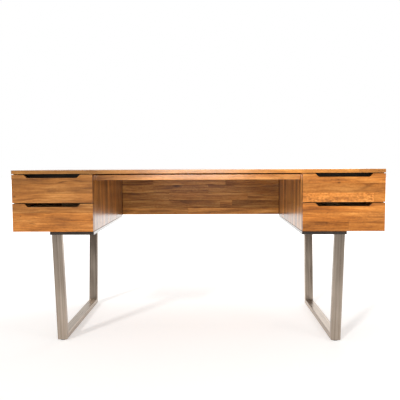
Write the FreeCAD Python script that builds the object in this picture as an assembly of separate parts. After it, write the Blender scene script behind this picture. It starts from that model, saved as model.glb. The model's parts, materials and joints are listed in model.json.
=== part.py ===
import FreeCAD, Part
import math
import os

# A writing desk: a thin solid-wood top on two hung pedestals, each with two drawers on
# full-extension runners, carried by two splayed frames of brushed steel tube.
# Millimetres. +Z is up, the drawers face -Y, and left is -X. The origin is on the floor,
# under the middle of the desk.

Vector = FreeCAD.Vector

# Overall size
DESK_WIDTH = 1600.0
DESK_DEPTH = 720.0
DESK_HEIGHT = 768.0

# Top, pedestals and the boards between them
TOP_THICKNESS = 16.0
PEDESTAL_WIDTH = 350.0
PEDESTAL_HEIGHT = 250.0
SIDE_THICKNESS = 18.0
FLOOR_THICKNESS = 18.0
BACK_THICKNESS = 12.0
RAIL_THICKNESS = 18.0
RAIL_WIDTH = 60.0
FINGER_ROOM = 45.0
APRON_GAP = 6.0
APRON_TONGUE = 12.0
APRON_HEIGHT = 23.0
APRON_THICKNESS = 20.0
APRON_SETBACK = 60.0
MODESTY_THICKNESS = 18.0
MODESTY_LIFT = 5.0
EDGE_EASE = 1.0

# Drawer fronts and their finger pulls
FRONT_THICKNESS = 20.0
FRONT_GAP = 3.0
PULL_WIDTH = 244.0
PULL_DEPTH = 14.0
PULL_END_ANGLE = 45.0
BUMPER_DIAMETER = 9.0
BUMPER_THICKNESS = 2.0
BUMPER_INSET = 16.0

# Drawer boxes
BOX_SIDE_THICKNESS = 12.0
BOX_BACK_THICKNESS = 12.0
BOX_BOTTOM_THICKNESS = 6.0
BOX_BOTTOM_RISE = 10.0
BOX_CLEARANCE = 5.0
BOX_REAR_ROOM = 140.0
GROOVE_DEPTH = 5.0
GROOVE_PLAY = 0.15

# Runners: three nested steel channels on each side of a drawer
RUNNER_THICKNESS = 12.7
RUNNER_HEIGHT = 45.0
RUNNER_SHEET = 1.2
RUNNER_FLANGE = 9.0
RUNNER_PLAY = 0.4
RUNNER_END_MARGIN = 6.0
RUNNER_SHORTENING = 20.0

# Steel legs, their flanges and the boards they are screwed to
MOUNT_WIDTH = 192.0
MOUNT_THICKNESS = 15.0
MOUNT_SETBACK = 10.0
MOUNT_EASE = 3.0
TUBE_WIDTH = 44.0
TUBE_DEPTH = 24.0
TUBE_WALL = 2.0
TUBE_CORNER = 3.0
LEG_SIDE_INSET = 6.0
LEG_END_INSET = 3.0
LEG_SPLAY = 48.0
FLANGE_THICKNESS = 5.0
FLANGE_LENGTH = 110.0
FLANGE_PLAY = 0.2
GLIDE_DIAMETER = 30.0
GLIDE_HEIGHT = 4.0
GLIDE_INSET = 18.0
GLIDE_STUD_DIAMETER = 8.0
GLIDE_STUD_LENGTH = 9.0

# Countersunk wood screws
SCREW_PLAY = 0.1
SCREW_HEAD_HEIGHT = 2.6
SCREW_HEAD_FLARE = 2.3
FLANGE_SCREW_DIAMETER = 5.0
FLANGE_SCREW_BITE = 11.0
FLANGE_SCREW_SPREAD = 24.0
FLANGE_SCREW_PITCH = 44.0
FLANGE_SCREW_END = 16.0
TOP_SCREW_DIAMETER = 4.0
TOP_SCREW_BITE = 8.0
TOP_SCREW_INSET = 60.0

# The drawers of a pedestal from the bottom up, and the two ends of the desk
LEVELS = ("lower", "upper")
HANDS = (("left", -1), ("right", 1))

# Levels and planes worked out from the sizes above
front_y = -DESK_DEPTH / 2
back_y = DESK_DEPTH / 2
pedestal_top = DESK_HEIGHT - TOP_THICKNESS
pedestal_bottom = pedestal_top - PEDESTAL_HEIGHT
mount_bottom = pedestal_bottom - MOUNT_THICKNESS
knee_half = DESK_WIDTH / 2 - PEDESTAL_WIDTH
carcass_front = front_y + FRONT_THICKNESS + BUMPER_THICKNESS
carcass_back = back_y - BACK_THICKNESS
front_pitch = PEDESTAL_HEIGHT / len(LEVELS)
front_height = front_pitch - FRONT_GAP
box_lift = FLOOR_THICKNESS + BOX_CLEARANCE
box_height = front_height + FRONT_GAP - RAIL_THICKNESS - BOX_CLEARANCE - box_lift
box_front_y = front_y + FRONT_THICKNESS
box_back_y = carcass_back - BOX_REAR_ROOM
box_half = PEDESTAL_WIDTH / 2 - SIDE_THICKNESS - RUNNER_THICKNESS
runner_front_y = carcass_front + RUNNER_END_MARGIN
runner_back_y = box_back_y - RUNNER_END_MARGIN


def box(low, high):
    """A plain block between two opposite corners."""
    size = [b - a for a, b in zip(low, high)]
    return Part.makeBox(size[0], size[1], size[2], Vector(*low))


def eased(shape):
    """The same board with every edge softened."""
    return shape.makeFillet(EDGE_EASE, shape.Edges)


def board(low, high):
    """A planed board with softened edges."""
    return eased(box(low, high))


def sided(hand, x_a, x_b):
    """The ordered X range of a piece, given by distances from the middle of the desk."""
    return sorted((hand * x_a, hand * x_b))


def prism(points, x_low, x_high):
    """A block with an outline in the Y-Z plane, drawn from x_low to x_high."""
    corners = [Vector(x_low, y, z) for y, z in points]
    outline = Part.makePolygon(corners + corners[:1])
    return Part.Face(outline).extrude(Vector(x_high - x_low, 0, 0))


def rod(x, y, z, diameter, length):
    """An upright round bar standing on the point x, y, z."""
    return Part.makeCylinder(diameter / 2, length, Vector(x, y, z))


def screw(x, y, z, diameter, length, play=0.0):
    """A countersunk screw driven upwards, its flat head level with z."""
    flare = diameter / 2 + SCREW_HEAD_FLARE + play
    shank = diameter / 2 + play
    head = Part.makeCone(flare, shank, SCREW_HEAD_HEIGHT, Vector(x, y, z))
    stem = Part.makeCylinder(shank, length + play, Vector(x, y, z))
    return head.fuse(stem).removeSplitter()


def bored(shape, cutters):
    """A shape with every cutter taken out of it."""
    for cutter in cutters:
        shape = shape.cut(cutter)
    return shape


def write(name, *solids):
    """One node: a single solid, or a group of separate ones."""
    for solid in solids:
        if not solid.isValid() or solid.Volume <= 0:
            raise ValueError("bad solid in " + name)
    shape = solids[0] if len(solids) == 1 else Part.makeCompound(list(solids))
    shape.exportStep(os.path.join("parts", name + ".step"))


# Leg frames


def leg_x_range(hand):
    """The X range of a leg frame's tubes, set in from the mounting board's outer edge."""
    outer = knee_half + MOUNT_WIDTH - LEG_SIDE_INSET
    return sided(hand, outer - TUBE_WIDTH, outer)


def leg_front(z):
    """Y of the front upright's front face at a height: it leans back towards the floor."""
    top = front_y + MOUNT_SETBACK + LEG_END_INSET
    drop = (mount_bottom - z) / (mount_bottom - GLIDE_HEIGHT)
    return top + LEG_SPLAY * drop


def tube(outline, hollow, x_low, x_high):
    """A tube with rounded long edges: an outline in Y-Z less its hollow, across one width."""
    solid = prism(outline, x_low, x_high)
    long_edges = [edge for edge in solid.Edges if edge.Length > TUBE_WIDTH + TUBE_DEPTH]
    solid = solid.makeFillet(TUBE_CORNER, long_edges)
    return solid.cut(prism(hollow, x_low + TUBE_WALL, x_high - TUBE_WALL))


def glide_ys():
    """Y of the front and rear glide under a foot bar."""
    toe = leg_front(GLIDE_HEIGHT) + GLIDE_INSET
    return (toe, -toe)


def leg_frame(hand):
    """Front upright, rear upright and foot bar, mitred at the two lower corners."""
    x_low, x_high = leg_x_range(hand)
    lean = math.atan2(LEG_SPLAY, mount_bottom - GLIDE_HEIGHT)
    across = TUBE_DEPTH / math.cos(lean)
    wall_across = TUBE_WALL / math.cos(lean)
    foot_top = GLIDE_HEIGHT + TUBE_DEPTH
    heel = (leg_front(GLIDE_HEIGHT), GLIDE_HEIGHT)
    crook = (leg_front(foot_top) + across, foot_top)
    crown = (leg_front(mount_bottom), mount_bottom)
    crown_in = (crown[0] + across, mount_bottom)
    over = mount_bottom + TUBE_DEPTH
    under = GLIDE_HEIGHT - TUBE_DEPTH
    front_hollow = [
        (leg_front(over) + wall_across, over),
        (leg_front(over) + across - wall_across, over),
        (leg_front(under) + across - wall_across, under),
        (leg_front(under) + wall_across, under),
    ]
    front = tube([crown, crown_in, crook, heel], front_hollow, x_low, x_high)
    rear = front.mirror(Vector(0, 0, 0), Vector(0, 1, 0))
    foot_outline = [heel, crook, (-crook[0], foot_top), (-heel[0], GLIDE_HEIGHT)]
    foot_hollow = [
        (heel[0] - TUBE_DEPTH, GLIDE_HEIGHT + TUBE_WALL),
        (heel[0] - TUBE_DEPTH, foot_top - TUBE_WALL),
        (-heel[0] + TUBE_DEPTH, foot_top - TUBE_WALL),
        (-heel[0] + TUBE_DEPTH, GLIDE_HEIGHT + TUBE_WALL),
    ]
    foot = tube(foot_outline, foot_hollow, x_low, x_high)
    middle = (x_low + x_high) / 2
    hole = GLIDE_STUD_DIAMETER + 2 * SCREW_PLAY
    stud_holes = [rod(middle, y, 0, hole, GLIDE_STUD_LENGTH) for y in glide_ys()]
    return front, rear, bored(foot, stud_holes)


def glides(hand):
    """Two round floor pads, each with a stud through the foot bar's lower wall."""
    x_low, x_high = leg_x_range(hand)
    middle = (x_low + x_high) / 2
    pads = []
    for y in glide_ys():
        pad = rod(middle, y, 0, GLIDE_DIAMETER, GLIDE_HEIGHT)
        stud = rod(middle, y, 0, GLIDE_STUD_DIAMETER, GLIDE_STUD_LENGTH)
        pads.append(pad.fuse(stud).removeSplitter())
    return pads


def flange_boxes(hand, play=0.0):
    """The two flat plates on a leg's uprights, or with play the pockets they are let into."""
    x_low, x_high = leg_x_range(hand)
    toe = leg_front(mount_bottom)
    plates = []
    for y_a, y_b in ((toe, toe + FLANGE_LENGTH), (-toe - FLANGE_LENGTH, -toe)):
        low = (x_low - play, y_a - play, mount_bottom)
        high = (x_high + play, y_b + play, mount_bottom + FLANGE_THICKNESS)
        plates.append(box(low, high))
    return plates


def flange_screws(hand, play=0.0):
    """Four screws a flange, up through the mounting board into the pedestal floor."""
    x_low, x_high = leg_x_range(hand)
    middle = (x_low + x_high) / 2
    length = MOUNT_THICKNESS + FLANGE_SCREW_BITE
    far = leg_front(mount_bottom) + FLANGE_LENGTH - FLANGE_SCREW_END
    found = []
    for side in (-1, 1):
        x = middle + side * FLANGE_SCREW_SPREAD / 2
        for y in (far - FLANGE_SCREW_PITCH, far):
            for end in (1, -1):
                found.append(screw(x, end * y, mount_bottom, FLANGE_SCREW_DIAMETER, length, play))
    return found


def mounting_board(hand):
    """The dark board between a pedestal and its leg, pocketed for the leg's flanges. Its upper
    edges are rounded more than its lower ones, which leaves a shadow line under the pedestal."""
    x_low, x_high = sided(hand, knee_half, knee_half + MOUNT_WIDTH)
    low = (x_low, front_y + MOUNT_SETBACK, mount_bottom)
    high = (x_high, back_y - MOUNT_SETBACK, pedestal_bottom)
    blank = box(low, high)
    upper = [edge for edge in blank.Edges if edge.BoundBox.ZMin > mount_bottom + EDGE_EASE]
    blank = blank.makeFillet(MOUNT_EASE, upper)
    lower = [edge for edge in blank.Edges if edge.BoundBox.ZMax < mount_bottom + EDGE_EASE]
    blank = blank.makeFillet(EDGE_EASE, lower)
    return bored(blank, flange_boxes(hand, FLANGE_PLAY) + flange_screws(hand, SCREW_PLAY))


# Pedestals, top and the boards between the pedestals


def rail_ys():
    """Y ranges of the front and rear top rails: the front one leaves room for fingers."""
    front = carcass_front + FINGER_ROOM
    return ((front, front + RAIL_WIDTH), (carcass_back - RAIL_WIDTH, carcass_back))


def top_screws(hand, play=0.0):
    """Two screws up through each top rail into the desk top."""
    length = RAIL_THICKNESS + TOP_SCREW_BITE
    found = []
    for y_a, y_b in rail_ys():
        for x in (knee_half + TOP_SCREW_INSET, DESK_WIDTH / 2 - TOP_SCREW_INSET):
            z = pedestal_top - RAIL_THICKNESS
            found.append(screw(hand * x, (y_a + y_b) / 2, z, TOP_SCREW_DIAMETER, length, play))
    return found


def desk_top():
    """The thin slab, flush with the drawer fronts and the pedestals' outer sides."""
    low = (-DESK_WIDTH / 2, front_y, pedestal_top)
    high = (DESK_WIDTH / 2, back_y, DESK_HEIGHT)
    holes = top_screws(-1, SCREW_PLAY) + top_screws(1, SCREW_PLAY)
    return bored(board(low, high), holes)


def side_boards(hand):
    """Outer and inner side of a pedestal."""
    outer = DESK_WIDTH / 2
    made = []
    for x_a, x_b in ((outer - SIDE_THICKNESS, outer), (knee_half, knee_half + SIDE_THICKNESS)):
        x_low, x_high = sided(hand, x_a, x_b)
        made.append(board((x_low, carcass_front, pedestal_bottom), (x_high, back_y, pedestal_top)))
    return made


def inside_x(hand):
    """X range between a pedestal's two sides."""
    return sided(hand, knee_half + SIDE_THICKNESS, DESK_WIDTH / 2 - SIDE_THICKNESS)


def pedestal_floor(hand):
    """The board that carries a pedestal's sides and takes the leg screws."""
    x_low, x_high = inside_x(hand)
    low = (x_low, carcass_front, pedestal_bottom)
    high = (x_high, carcass_back, pedestal_bottom + FLOOR_THICKNESS)
    return bored(board(low, high), flange_screws(hand, SCREW_PLAY))


def pedestal_back(hand):
    """The board that closes a pedestal behind its drawers."""
    x_low, x_high = inside_x(hand)
    return board((x_low, carcass_back, pedestal_bottom), (x_high, back_y, pedestal_top))


def top_rails(hand):
    """Two flat rails across a pedestal, screwed up into the top."""
    x_low, x_high = inside_x(hand)
    rails = []
    for y_a, y_b in rail_ys():
        rail = board((x_low, y_a, pedestal_top - RAIL_THICKNESS), (x_high, y_b, pedestal_top))
        rails.append(bored(rail, top_screws(hand, SCREW_PLAY)))
    return rails


def front_apron():
    """The slim rail across the knee space. A tongue along its rear reaches up to the top, so that the
    open joint in front of it is a dark groove."""
    face = front_y + APRON_SETBACK
    rear = face + APRON_THICKNESS
    top = pedestal_top - APRON_GAP
    rail = board((-knee_half, face, top - APRON_HEIGHT), (knee_half, rear, top))
    end = knee_half - 2 * EDGE_EASE
    tongue = box((-end, rear - APRON_TONGUE, top - APRON_HEIGHT / 2), (end, rear, pedestal_top))
    return rail.fuse(tongue).removeSplitter()


def modesty_panel():
    """The board that closes the back of the knee space."""
    low = (-knee_half, back_y - MODESTY_THICKNESS, pedestal_bottom + MODESTY_LIFT)
    return board(low, (knee_half, back_y, pedestal_top))


# Drawers and runners


def drawer_base(level):
    """Height of a drawer front's lower edge."""
    return pedestal_bottom + LEVELS.index(level) * front_pitch


def drawer_middle(hand):
    """X of the middle of a pedestal's drawers."""
    return hand * (DESK_WIDTH / 2 - PEDESTAL_WIDTH / 2)


def bottom_panel(hand, level, play=0.0):
    """A drawer's bottom panel, or with play the groove that it sits in."""
    middle = drawer_middle(hand)
    z = drawer_base(level) + box_lift + BOX_BOTTOM_RISE
    reach = box_half - BOX_SIDE_THICKNESS + GROOVE_DEPTH + play
    low = (middle - reach, box_front_y - GROOVE_DEPTH - play, z - play)
    back = box_back_y - BOX_BACK_THICKNESS + GROOVE_DEPTH
    high = (middle + reach, back + play, z + BOX_BOTTOM_THICKNESS + play)
    return box(low, high)


def drawer_front(hand, level):
    """A full-overlay front with a finger pull cut into its top edge."""
    middle = drawer_middle(hand)
    base = drawer_base(level)
    brow = base + front_height
    half = PEDESTAL_WIDTH / 2
    slope = PULL_DEPTH / math.tan(math.radians(PULL_END_ANGLE))
    outline = [
        (-half, base),
        (half, base),
        (half, brow),
        (PULL_WIDTH / 2, brow),
        (PULL_WIDTH / 2 - slope, brow - PULL_DEPTH),
        (slope - PULL_WIDTH / 2, brow - PULL_DEPTH),
        (-PULL_WIDTH / 2, brow),
        (-half, brow),
    ]
    corners = [Vector(middle + x, front_y, z) for x, z in outline]
    face = Part.Face(Part.makePolygon(corners + corners[:1]))
    solid = eased(face.extrude(Vector(0, FRONT_THICKNESS, 0)))
    return solid.cut(bottom_panel(hand, level, GROOVE_PLAY))


def drawer_box(hand, level):
    """Left side, right side and back of a drawer, grooved for its bottom."""
    middle = drawer_middle(hand)
    z_low = drawer_base(level) + box_lift
    z_high = z_low + box_height
    groove = bottom_panel(hand, level, GROOVE_PLAY)
    inner = box_half - BOX_SIDE_THICKNESS
    left = board((middle - box_half, box_front_y, z_low), (middle - inner, box_back_y, z_high))
    right = board((middle + inner, box_front_y, z_low), (middle + box_half, box_back_y, z_high))
    back_low = (middle - inner, box_back_y - BOX_BACK_THICKNESS, z_low)
    back = board(back_low, (middle + inner, box_back_y, z_high))
    return [piece.cut(groove) for piece in (left, right, back)]


def channel(web, lip, half_height, y_range, place, z):
    """A channel along Y. web and lip are distances from the pedestal's side, towards the drawer:
    the web is one sheet thick from the first distance, and its lips reach to the second."""
    def block(u_a, u_b, z_a, z_b):
        x_low, x_high = sorted((place(u_a), place(u_b)))
        return box((x_low, y_range[0], z + z_a), (x_high, y_range[1], z + z_b))
    u_low, u_high = sorted((web[0], lip))
    upper = block(u_low, u_high, half_height - RUNNER_SHEET, half_height)
    lower = block(u_low, u_high, -half_height, RUNNER_SHEET - half_height)
    plate = block(web[0], web[1], -half_height, half_height)
    return plate.fuse([upper, lower]).removeSplitter()


def runners(hand, level):
    """Cabinet, middle and drawer members, each a pair for the drawer's two sides."""
    middle = drawer_middle(hand)
    z = drawer_base(level) + box_lift + box_height / 2
    whole = (runner_front_y, runner_back_y)
    shorter = (runner_front_y, runner_back_y - RUNNER_SHORTENING)
    nest = RUNNER_SHEET + RUNNER_PLAY
    half = RUNNER_HEIGHT / 2
    cabinet, middles, drawer = [], [], []
    for side in (-1, 1):
        def place(u, side=side):
            return middle + side * (box_half + RUNNER_THICKNESS - u)
        cabinet.append(channel((0, RUNNER_SHEET), RUNNER_FLANGE, half, whole, place, z))
        web = (nest, nest + RUNNER_SHEET)
        middles.append(channel(web, nest + RUNNER_FLANGE, half - nest, shorter, place, z))
        web = (RUNNER_THICKNESS, RUNNER_THICKNESS - RUNNER_SHEET)
        lip = RUNNER_THICKNESS - RUNNER_FLANGE
        drawer.append(channel(web, lip, half - 2 * nest, whole, place, z))
    return cabinet, middles, drawer


def bumpers(hand, level):
    """Two felt dots on the pedestal's front edges, which the closed front meets."""
    z = drawer_base(level) + front_height - BUMPER_INSET
    dots = []
    for x in (knee_half + SIDE_THICKNESS / 2, DESK_WIDTH / 2 - SIDE_THICKNESS / 2):
        foot = Vector(hand * x, carcass_front - BUMPER_THICKNESS, z)
        dots.append(Part.makeCylinder(BUMPER_DIAMETER / 2, BUMPER_THICKNESS, foot, Vector(0, 1, 0)))
    return dots


os.makedirs("parts", exist_ok=True)

write("desk_top", desk_top())
write("front_apron", front_apron())
write("modesty_panel", modesty_panel())

all_glides, all_flange_screws, all_top_screws, all_bumpers = [], [], [], []
for name, hand in HANDS:
    outer_side, inner_side = side_boards(hand)
    write(name + "_outer_side", outer_side)
    write(name + "_inner_side", inner_side)
    write(name + "_pedestal_floor", pedestal_floor(hand))
    write(name + "_pedestal_back", pedestal_back(hand))
    write(name + "_top_rails", *top_rails(hand))
    write(name + "_mounting_board", mounting_board(hand))
    front_upright, rear_upright, foot_bar = leg_frame(hand)
    write(name + "_front_upright", front_upright)
    write(name + "_rear_upright", rear_upright)
    write(name + "_foot_bar", foot_bar)
    flanges = [bored(plate, flange_screws(hand, SCREW_PLAY)) for plate in flange_boxes(hand)]
    write(name + "_leg_flanges", *flanges)
    all_glides += glides(hand)
    all_flange_screws += flange_screws(hand)
    all_top_screws += top_screws(hand)
    for level in LEVELS:
        drawer = level + "_" + name + "_"
        write(drawer + "drawer_front", drawer_front(hand, level))
        left_side, right_side, back = drawer_box(hand, level)
        write(drawer + "drawer_left_side", left_side)
        write(drawer + "drawer_right_side", right_side)
        write(drawer + "drawer_back", back)
        write(drawer + "drawer_bottom", bottom_panel(hand, level))
        cabinet_runners, middle_runners, drawer_runners = runners(hand, level)
        write(drawer + "cabinet_runners", *cabinet_runners)
        write(drawer + "middle_runners", *middle_runners)
        write(drawer + "drawer_runners", *drawer_runners)
        all_bumpers += bumpers(hand, level)

write("floor_glides", *all_glides)
write("leg_screws", *all_flange_screws)
write("top_screws", *all_top_screws)
write("bumper_dots", *all_bumpers)

print("desk", DESK_WIDTH, "x", DESK_DEPTH, "x", DESK_HEIGHT, "mm,", len(os.listdir("parts")), "nodes")
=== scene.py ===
# %% [markdown]
# # A writing desk in edge-glued hardwood on brushed steel legs
#
# The desk's construction comes in as a frame: each board, tube and runner at its real size, riding on
# the body that it moves with. This lesson gives that frame its looks. The boards that show are built
# again from their staves, small hardware is turned from profiles, and every surface gets a finish made
# of nodes. Where a piece of the frame already has the right shape it stays, and only its finish is new.

# %% Load the frame
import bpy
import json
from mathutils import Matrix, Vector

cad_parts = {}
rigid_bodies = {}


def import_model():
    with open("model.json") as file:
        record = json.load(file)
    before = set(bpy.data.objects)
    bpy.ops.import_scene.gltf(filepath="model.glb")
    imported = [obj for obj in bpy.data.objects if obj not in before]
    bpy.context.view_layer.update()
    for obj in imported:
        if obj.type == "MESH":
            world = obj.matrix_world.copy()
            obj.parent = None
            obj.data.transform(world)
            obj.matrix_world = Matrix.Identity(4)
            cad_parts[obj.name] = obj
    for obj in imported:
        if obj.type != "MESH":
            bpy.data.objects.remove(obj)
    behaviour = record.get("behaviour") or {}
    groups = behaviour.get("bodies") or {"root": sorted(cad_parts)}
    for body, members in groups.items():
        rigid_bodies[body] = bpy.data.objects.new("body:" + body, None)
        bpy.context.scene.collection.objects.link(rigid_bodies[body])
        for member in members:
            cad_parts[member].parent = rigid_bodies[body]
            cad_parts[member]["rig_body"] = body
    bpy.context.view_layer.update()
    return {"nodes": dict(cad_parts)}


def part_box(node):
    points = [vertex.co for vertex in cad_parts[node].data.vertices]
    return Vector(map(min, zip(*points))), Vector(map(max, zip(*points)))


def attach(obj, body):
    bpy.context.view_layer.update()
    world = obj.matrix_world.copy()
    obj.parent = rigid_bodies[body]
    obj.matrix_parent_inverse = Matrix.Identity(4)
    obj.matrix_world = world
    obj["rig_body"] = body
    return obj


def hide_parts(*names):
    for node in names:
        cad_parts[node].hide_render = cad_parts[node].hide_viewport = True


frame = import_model()

import json
import math
import zlib

import bpy
import numpy as np
from mathutils import Matrix, Vector

# %% [markdown]
# ## The camera
#
# The photograph was taken from just above the worktop, a little right of the middle, looking slightly
# down. One could turn a camera by eye until the picture fits. Here its place and turns were solved from
# the desk's known edges, so they are plain numbers: metres in the desk's frame, and small angles.

# %% Set up the camera
SENSOR_WIDTH = 36.0
LENS_PER_WIDTH = 483.78 / 400
CAMERA_PLACE = (0.0535, -2.4253, 0.7798)
TURN_LEFT = 0.02024
TILT_DOWN = 0.06858
ROLL = -0.00481

camera = bpy.data.objects.new("camera", bpy.data.cameras.new("camera"))
camera.data.sensor_width = SENSOR_WIDTH
camera.data.lens = SENSOR_WIDTH * LENS_PER_WIDTH
camera.matrix_world = (
    Matrix.Translation(CAMERA_PLACE)
    @ Matrix.Rotation(TURN_LEFT, 4, "Z")
    @ Matrix.Rotation(math.pi / 2 - TILT_DOWN, 4, "X")
    @ Matrix.Rotation(ROLL, 4, "Z")
)
bpy.context.scene.collection.objects.link(camera)
bpy.context.scene.camera = camera
bpy.context.scene.view_settings.view_transform = "Standard"
print("lens", round(camera.data.lens, 2), "mm")

# %% [markdown]
# ## A short way to write nodes
#
# A finish is a chain of nodes, and in Python each node takes several lines. This small class writes one
# node in one call: an input that is another node's socket gets linked, and anything else is set as a
# value on the socket itself.

# %% Node helpers
HALF = (0.5, 0.5, 0.5)


class Recipe:
    """The node tree of one finish."""

    def __init__(self, name, tree=None):
        if tree is None:
            self.material = bpy.data.materials.new(name)
            self.material.use_nodes = True
            tree = self.material.node_tree
        self.tree = tree
        self.tree.nodes.clear()

    def add(self, kind, inputs, out=0, **settings):
        """Adds a node, fills its inputs and returns the wanted output socket."""
        node = self.tree.nodes.new("ShaderNode" + kind)
        for key, value in settings.items():
            setattr(node, key, value)
        for key, value in inputs.items():
            if isinstance(value, bpy.types.NodeSocket):
                self.tree.links.new(value, node.inputs[key])
            else:
                node.inputs[key].default_value = value
        return node.outputs[out]

    def math(self, operation, a, b=0.0, clamp=False):
        """One arithmetic step on numbers."""
        return self.add("Math", {0: a, 1: b}, operation=operation, use_clamp=clamp)

    def plus(self, total, *others):
        """The sum of numbers."""
        for other in others:
            total = self.math("ADD", total, other)
        return total

    def times(self, product, *others):
        """The product of numbers."""
        for other in others:
            product = self.math("MULTIPLY", product, other)
        return product

    def vector(self, operation, a, b=(0.0, 0.0, 0.0), out=0):
        """One arithmetic step on vectors."""
        return self.add("VectorMath", {0: a, 1: b}, out=out, operation=operation)

    def range(self, value, from_min, from_max, to_min, to_max):
        """A number carried from one range to another, and held inside it."""
        places = {"From Min": from_min, "From Max": from_max, "To Min": to_min, "To Max": to_max}
        return self.add("MapRange", {"Value": value, **places})

    def swing(self, value, amount):
        """A number that lies about 0.5, as a swing about zero of the given amount."""
        return self.times(self.math("SUBTRACT", value, 0.5), amount)

    def noise(self, vector, scale, detail=2.0, roughness=0.5, out="Fac"):
        """Smooth noise between 0 and 1. scale gives the number of cells to a metre along X, Y and Z."""
        inputs = {"Vector": self.vector("MULTIPLY", vector, scale), "Scale": 1.0}
        return self.add("TexNoise", {**inputs, "Detail": detail, "Roughness": roughness}, out=out)

    def stray(self, vector, scale, amount, detail=2.0):
        """A smooth random shift of up to half the amount along each axis."""
        shift = self.vector("SUBTRACT", self.noise(vector, scale, detail, out="Color"), HALF)
        return self.vector("MULTIPLY", shift, amount)

    def place(self):
        """Object coordinates of the shaded point, in metres."""
        return self.add("TexCoord", {}, out="Object")

    def attribute(self, name, out="Fac"):
        """A value that the mesh carries under this name."""
        return self.add("Attribute", {}, out=out, attribute_name=name)

    def scale(self, colour, factor):
        """A colour times a number."""
        return self.add("VectorMath", {0: colour, "Scale": factor}, operation="SCALE")

    def bump(self, height, strength, distance):
        """Normals of a fine relief, whose full height is the distance in metres."""
        inputs = {"Height": height, "Strength": strength, "Distance": distance}
        return self.add("Bump", inputs, out="Normal")

    def ramp(self, factor, *stops):
        """A colour or grey ramp through (position, colour) stops."""
        socket = self.add("ValToRGB", {"Fac": factor}, out="Color")
        elements = socket.node.color_ramp.elements
        for place, colour in stops[2:]:
            elements.new(place)
        for element, (place, colour) in zip(elements, sorted(stops)):
            element.position = place
            element.color = (*np.broadcast_to(colour, 3), 1.0)
        return socket

    def mix(self, factor, a, b, blend="MIX"):
        """Two colours blended."""
        return self.add("Mix", {0: factor, 6: a, 7: b}, out=2, data_type="RGBA", blend_type=blend)

    def finish(self, shader):
        """Links the surface and returns the material."""
        output = self.tree.nodes.new("ShaderNodeOutputMaterial")
        self.tree.links.new(shader, output.inputs["Surface"])
        return self.material

    def principled(self, inputs):
        """Links a principled surface and returns the material."""
        return self.finish(self.add("BsdfPrincipled", inputs))


print("node helpers ready")

# %% [markdown]
# ## The stage
#
# The photograph shows the desk on a white studio floor that runs into a white background, with a darker
# studio behind the camera, which the lacquer and the steel mirror. The floor and the world are white to
# the camera through the Light Path node, while the lamps stay at a plain level. The floor keeps its real
# shading under that glow, so the shadows of the legs stay. In reflections it gets dimmer to the front, and
# behind the desk to the left.

# %% Floor
FLOOR_SIZE = 60.0
FLOOR_DROP = 0.0003
FLOOR_COLOUR = (0.82, 0.805, 0.79)
FLOOR_GLOW = (1.0, 0.99, 0.98, 1.0)
GLOW_FRONT, GLOW_REAR, GLOW_FAR = 0.41, 0.63, 0.50
GLOW_FRONT_Y, GLOW_REAR_Y = -0.1, 0.9
FAR_FROM, FAR_TO = 1.6, 4.5
DIM_FROM_Y, DIM_TO_Y, DIMMEST = -0.5, -3.0, 0.10
BEHIND_FROM_Y, BEHIND_TO_Y = 0.5, 1.5
BEHIND_LEFT_X, BEHIND_RIGHT_X, BEHIND_LEFT = -0.6, 0.4, 0.62
WHITE = (1.0, 1.0, 1.0, 1.0)


def ray_kinds(recipe):
    """1 or 0 for: a ray in a reflection or in glass, and such a ray or one from the camera."""
    camera_ray = recipe.add("LightPath", {}, out="Is Camera Ray")
    path = camera_ray.node.outputs
    mirrored = recipe.math("ADD", path["Is Glossy Ray"], path["Is Transmission Ray"], clamp=True)
    return mirrored, recipe.math("ADD", camera_ray, mirrored, clamp=True)


def floor_finish():
    """Pale matt floor with a glow that only eyes and reflections see, stronger far from the desk."""
    recipe = Recipe("studio_floor")
    mirrored, seen = ray_kinds(recipe)
    place = recipe.place()
    y = recipe.add("SeparateXYZ", {0: place}, out="Y")
    in_front = recipe.range(y, DIM_TO_Y, DIM_FROM_Y, DIMMEST, 1.0)
    left_side = recipe.range(y.node.outputs["X"], BEHIND_LEFT_X, BEHIND_RIGHT_X, BEHIND_LEFT, 1.0)
    behind = recipe.range(y, BEHIND_FROM_Y, BEHIND_TO_Y, 1.0, left_side)
    dimmer = recipe.range(mirrored, 0.0, 1.0, 1.0, recipe.times(in_front, behind))
    near = recipe.range(y, GLOW_FRONT_Y, GLOW_REAR_Y, GLOW_FRONT, GLOW_REAR)
    far = recipe.range(recipe.vector("LENGTH", place, out="Value"), FAR_FROM, FAR_TO, 0.0, GLOW_FAR)
    strength = recipe.times(seen, recipe.plus(near, far), dimmer)
    glow = recipe.add("Emission", {"Color": FLOOR_GLOW, "Strength": strength})
    matt = recipe.add("BsdfDiffuse", {"Color": recipe.scale(FLOOR_COLOUR, dimmer)})
    return recipe.finish(recipe.add("AddShader", {0: glow, 1: matt}))


def lay_floor():
    """One large square just under the glides."""
    half = FLOOR_SIZE / 2
    corners = [(-half, -half), (half, -half), (half, half), (-half, half)]
    mesh = bpy.data.meshes.new("floor")
    mesh.from_pydata([(x, y, -FLOOR_DROP) for x, y in corners], [], [(0, 1, 2, 3)])
    mesh.materials.append(floor_finish())
    floor = bpy.data.objects.new("floor", mesh)
    bpy.context.scene.collection.objects.link(floor)


lay_floor()
print("floor", FLOOR_SIZE, "m square")

# %% [markdown]
# The world is the rest of the studio. Reflections see its white backdrop beyond the desk, which is lit from
# the right, and the dark room behind the camera. Its soft light is brightest low down, because large panels
# stand around the desk: they reach under the edge of the top, which lamps from above leave in shade.

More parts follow.
